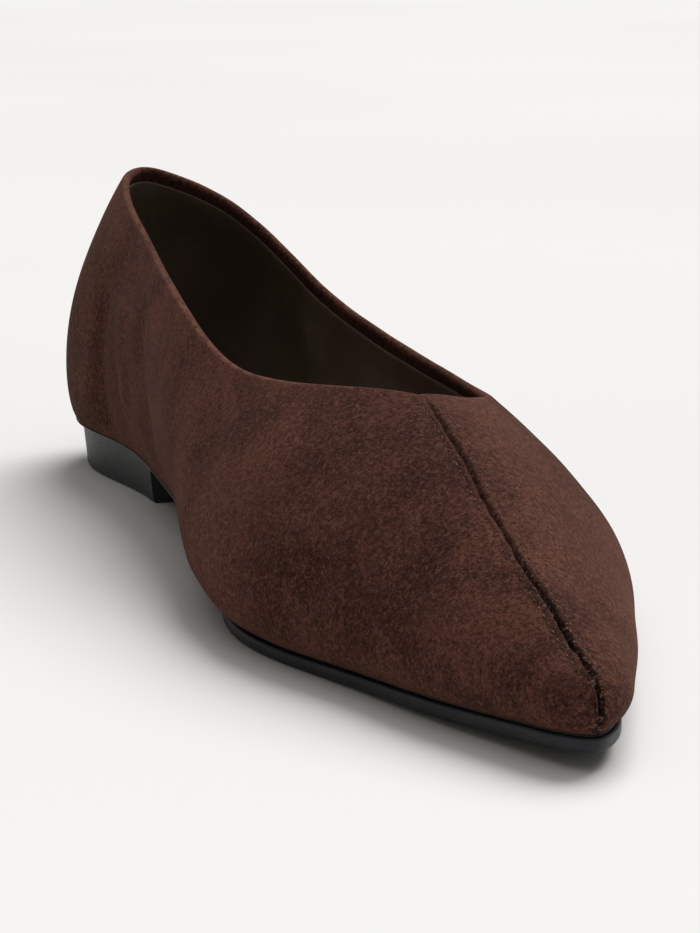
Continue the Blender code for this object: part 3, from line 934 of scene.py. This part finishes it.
def suede_finish():
    """Split leather suede, buffed on the flesh side: a short matt nap of fibres that catches light at
    grazing angles, lies in lighter and darker brushed patches, and shows no gloss. Real nap is finer."""
    made, tree, shader, place = new_finish("suede_dark_brown")
    fibre = noise(tree, place, 0.45, 2.0, 0.6)
    tuft = noise(tree, place, 1.0, 3.0, 0.65)
    patch = noise(tree, place, 26.0, 3.0, 0.6, 0.4)
    hide = noise(tree, place, 60.0, 1.0, 0.5)
    base = blend(tree, patch, 0.38, 0.64, "#40251F", "#5C392F")
    base = blend(tree, hide, 0.4, 0.65, base, "#36201A", most=0.3)
    base = blend(tree, tuft, 0.52, 0.34, base, "#180D0A", most=0.56)
    base = blend(tree, tuft, 0.5, 0.68, base, "#7B5141", most=0.38)
    base = blend(tree, fibre, 0.5, 0.36, base, "#20120E", most=0.5)
    base = blend(tree, fibre, 0.52, 0.7, base, "#7F5747", most=0.4)

    # Painted highlight along the fold round the opening, broken into spots by noise
    tone_mask = add_node(tree, "Attribute", {}, attribute_name="fold_highlight").outputs["Fac"]
    highlight_spots = ranged(tree, noise(tree, place, 3.0, 3.0, 0.7), 0.38, 0.62, 0.15, 1.0)
    base = mix_colour(tree, times(tree, tone_mask, highlight_spots), base, "#966C5A")
    # Front seam: painted shade in its trench as dark dashes, faint along the vamp and stronger on the
    # toe, with light frayed thread ends among them
    fray_and_trench_shade = add_node(tree, "Attribute", {}, attribute_name="fray_and_trench_shade").outputs["Fac"]
    seam_speckle = noise(tree, place, 0.65, 2.0, 0.6)
    trench_shade = times(tree, fray_and_trench_shade, ranged(tree, seam_speckle, 0.6, 0.48))
    light_part = times(tree, fray_and_trench_shade, ranged(tree, seam_speckle, 0.6, 0.68))
    base = mix_colour(tree, trench_shade, base, "#0E0A09")
    base = mix_colour(tree, light_part, base, "#7C6A60")

    nap = bumped(tree, fibre, 0.35, 0.25)
    set_inputs(tree, shader, {"Base Color": base, "Roughness": 0.95, "Specular IOR Level": 0.08,
                              "Sheen Weight": 0.14, "Sheen Roughness": 0.5,
                              "Sheen Tint": srgb("#B98672"), "Normal": bumped(tree, tuft, 0.4, 0.4, nap)})
    return made


def lining_finish():
    """Microfibre lining, pressed smooth: very dark grey-brown with a faint silky gloss and a fine even
    grain."""
    made, tree, shader, place = new_finish("lining_microfibre")
    grain = noise(tree, place, 0.5, 3.0, 0.6)
    tone_mask = noise(tree, place, 16.0, 2.0, 0.5)
    base = blend(tree, tone_mask, 0.35, 0.7, "#6B5B4C", "#78695A")
    base = blend(tree, grain, 0.45, 0.7, base, "#51463B", most=0.35)
    set_inputs(tree, shader, {"Base Color": base, "Roughness": ranged(tree, tone_mask, 0.3, 0.7, 0.62, 0.7),
                              "Specular IOR Level": 0.3, "Normal": bumped(tree, grain, 0.3, 0.15)})
    return made


def insole_finish():
    """Pigment finished sheepskin over foam: smooth, very dark brown, with a fine pebbled grain and a low
    satin gloss where a foot would polish it."""
    made, tree, shader, place = new_finish("insole_leather")
    pebbles = add_node(tree, "TexVoronoi", {"Vector": place, "Scale": per_mm(0.8)}, feature="SMOOTH_F1")
    mottle = noise(tree, place, 14.0, 3.0, 0.5)
    set_inputs(tree, shader, {"Base Color": blend(tree, mottle, 0.35, 0.7, "#1E1512", "#2C201B"),
                              "Roughness": ranged(tree, mottle, 0.3, 0.7, 0.5, 0.64),
                              "Specular IOR Level": 0.3,
                              "Normal": bumped(tree, pebbles.outputs["Distance"], 0.35, 0.12)})
    return made


def rubber_finish(name, first, second):
    """Moulded thermoplastic rubber: dark grey and satin, with a fine moulded grain and faint scuffs."""
    made, tree, shader, place = new_finish(name)
    grain = noise(tree, place, 0.35, 2.0, 0.5)
    cloud = noise(tree, place, 9.0, 3.0, 0.5)
    flat_place = add_node(tree, "Mapping", {"Vector": place, "Scale": (1.0, 1.0, 5.0)}).outputs["Vector"]
    scuff = noise(tree, flat_place, 2.2, 4.0, 0.7, 0.8)
    set_inputs(tree, shader, {"Base Color": blend(tree, cloud, 0.35, 0.7, first, second),
                              "Roughness": ranged(tree, scuff, 0.35, 0.75, 0.45, 0.61),
                              "Specular IOR Level": 0.35, "Normal": bumped(tree, grain, 0.25, 0.1)})
    return made


def thread_finish():
    """Spun polyester thread: matt, brown, in part lighter than the suede, its twist as fine bands."""
    made, tree, shader, place = new_finish("polyester_thread")
    bands_per_size = 6.0
    waves = add_node(tree, "TexWave", {"Vector": place, "Scale": per_mm(0.35) / bands_per_size,
                                       "Distortion": 1.0}, wave_type="BANDS", bands_direction="DIAGONAL")
    twist = waves.outputs["Fac"]
    base = blend(tree, noise(tree, place, 1.6, 2.0, 0.5), 0.35, 0.65, "#35231B", "#7A604E")
    base = blend(tree, twist, 0.3, 0.8, base, "#2C1C17", most=0.5)
    set_inputs(tree, shader, {"Base Color": base, "Roughness": 0.8, "Specular IOR Level": 0.2,
                              "Normal": bumped(tree, twist, 0.4, 0.08)})
    return made


def shade_bead_finish():
    """Near black, slightly glossy and uneven: painted shade in the corner between upper and outsole."""
    made, tree, shader, place = new_finish("painted_shade_bead")
    beads = noise(tree, place, 1.5, 3.0, 0.6)
    set_inputs(tree, shader, {"Base Color": blend(tree, beads, 0.4, 0.7, "#0C0B0B", "#1B1918"),
                              "Roughness": 0.4, "Normal": bumped(tree, beads, 0.5, 0.1)})
    return made


def floor_finish():
    """Matt painted studio floor, nearly white."""
    made, tree, shader, place = new_finish("studio_floor_paint")
    tone = noise(tree, place, 400.0, 1.0, 0.5)
    set_inputs(tree, shader, {"Base Color": blend(tree, tone, 0.3, 0.7, "#EDECEA", "#F0EFED"),
                              "Roughness": 0.8, "Specular IOR Level": 0.2})
    return made


def make_floor():
    """Level studio floor just under the shoe."""
    half = 6.0
    level = -0.00005
    corners = [(-half, -half, level), (half, -half, level), (half, half, level), (-half, half, level)]
    mesh = bpy.data.meshes.new("studio_floor")
    mesh.from_pydata(corners, [], [(0, 1, 2, 3)])
    mesh.materials.append(floor_finish())
    add_object("studio_floor", mesh)


def aim(place, target):
    """Matrix of a camera or light at a place, looking at a target."""
    turned = (Vector(target) - Vector(place)).to_track_quat("-Z", "Y")
    return Matrix.Translation(place) @ turned.to_matrix().to_4x4()


def add_light(name, heading, spread, strength):
    """Broad far light from a heading, soft over a spread in degrees."""
    lamp = bpy.data.lights.new(name, "SUN")
    lamp.angle = np.radians(spread)
    lamp.energy = strength
    add_object(name, lamp).matrix_world = aim(heading, (0.0, 0.0, 0.0))


def set_studio():
    """Soft studio light: a broad key from behind the shoe on the camera's right, a very broad one
    overhead, and pale surroundings."""
    add_light("key_softbox", heading=(0.7, 0.5, 1.3), spread=45.0, strength=2.7)
    add_light("top_softbox", heading=(0.0, -0.2, 1.0), spread=70.0, strength=0.52)
    world = bpy.data.worlds.new("pale_studio")
    world.use_nodes = True
    background = world.node_tree.nodes["Background"]
    background.inputs["Color"].default_value = srgb("#F4F1EE")
    background.inputs["Strength"].default_value = 0.21
    bpy.context.scene.world = world
    bpy.context.scene.view_settings.view_transform = "Standard"


def set_camera():
    """Camera at the photograph's place and height, framed on the one shoe."""
    place = (-0.1790, -0.4944, 0.1392)
    target = (-0.0104, -0.0322, 0.0288)
    lens = bpy.data.cameras.new("photo_camera")
    lens.lens = 104.0
    lens.sensor_width = 36.0
    lens.clip_start = 0.01
    camera = add_object("photo_camera", lens)
    camera.matrix_world = aim(place, target)
    bpy.context.scene.camera = camera


def main():
    """Builds the pieces and the studio."""
    make_upper(suede_finish())
    make_lining(lining_finish())
    make_topstitching(thread_finish())
    make_outsole(rubber_finish("outsole_rubber_finish", "#1C1E22", "#25282D"))
    make_heel(rubber_finish("heel_rubber_finish", "#2C302E", "#343836"))
    make_insole(insole_finish())
    make_shade_bead(shade_bead_finish())
    make_floor()
    set_studio()
    set_camera()


main()
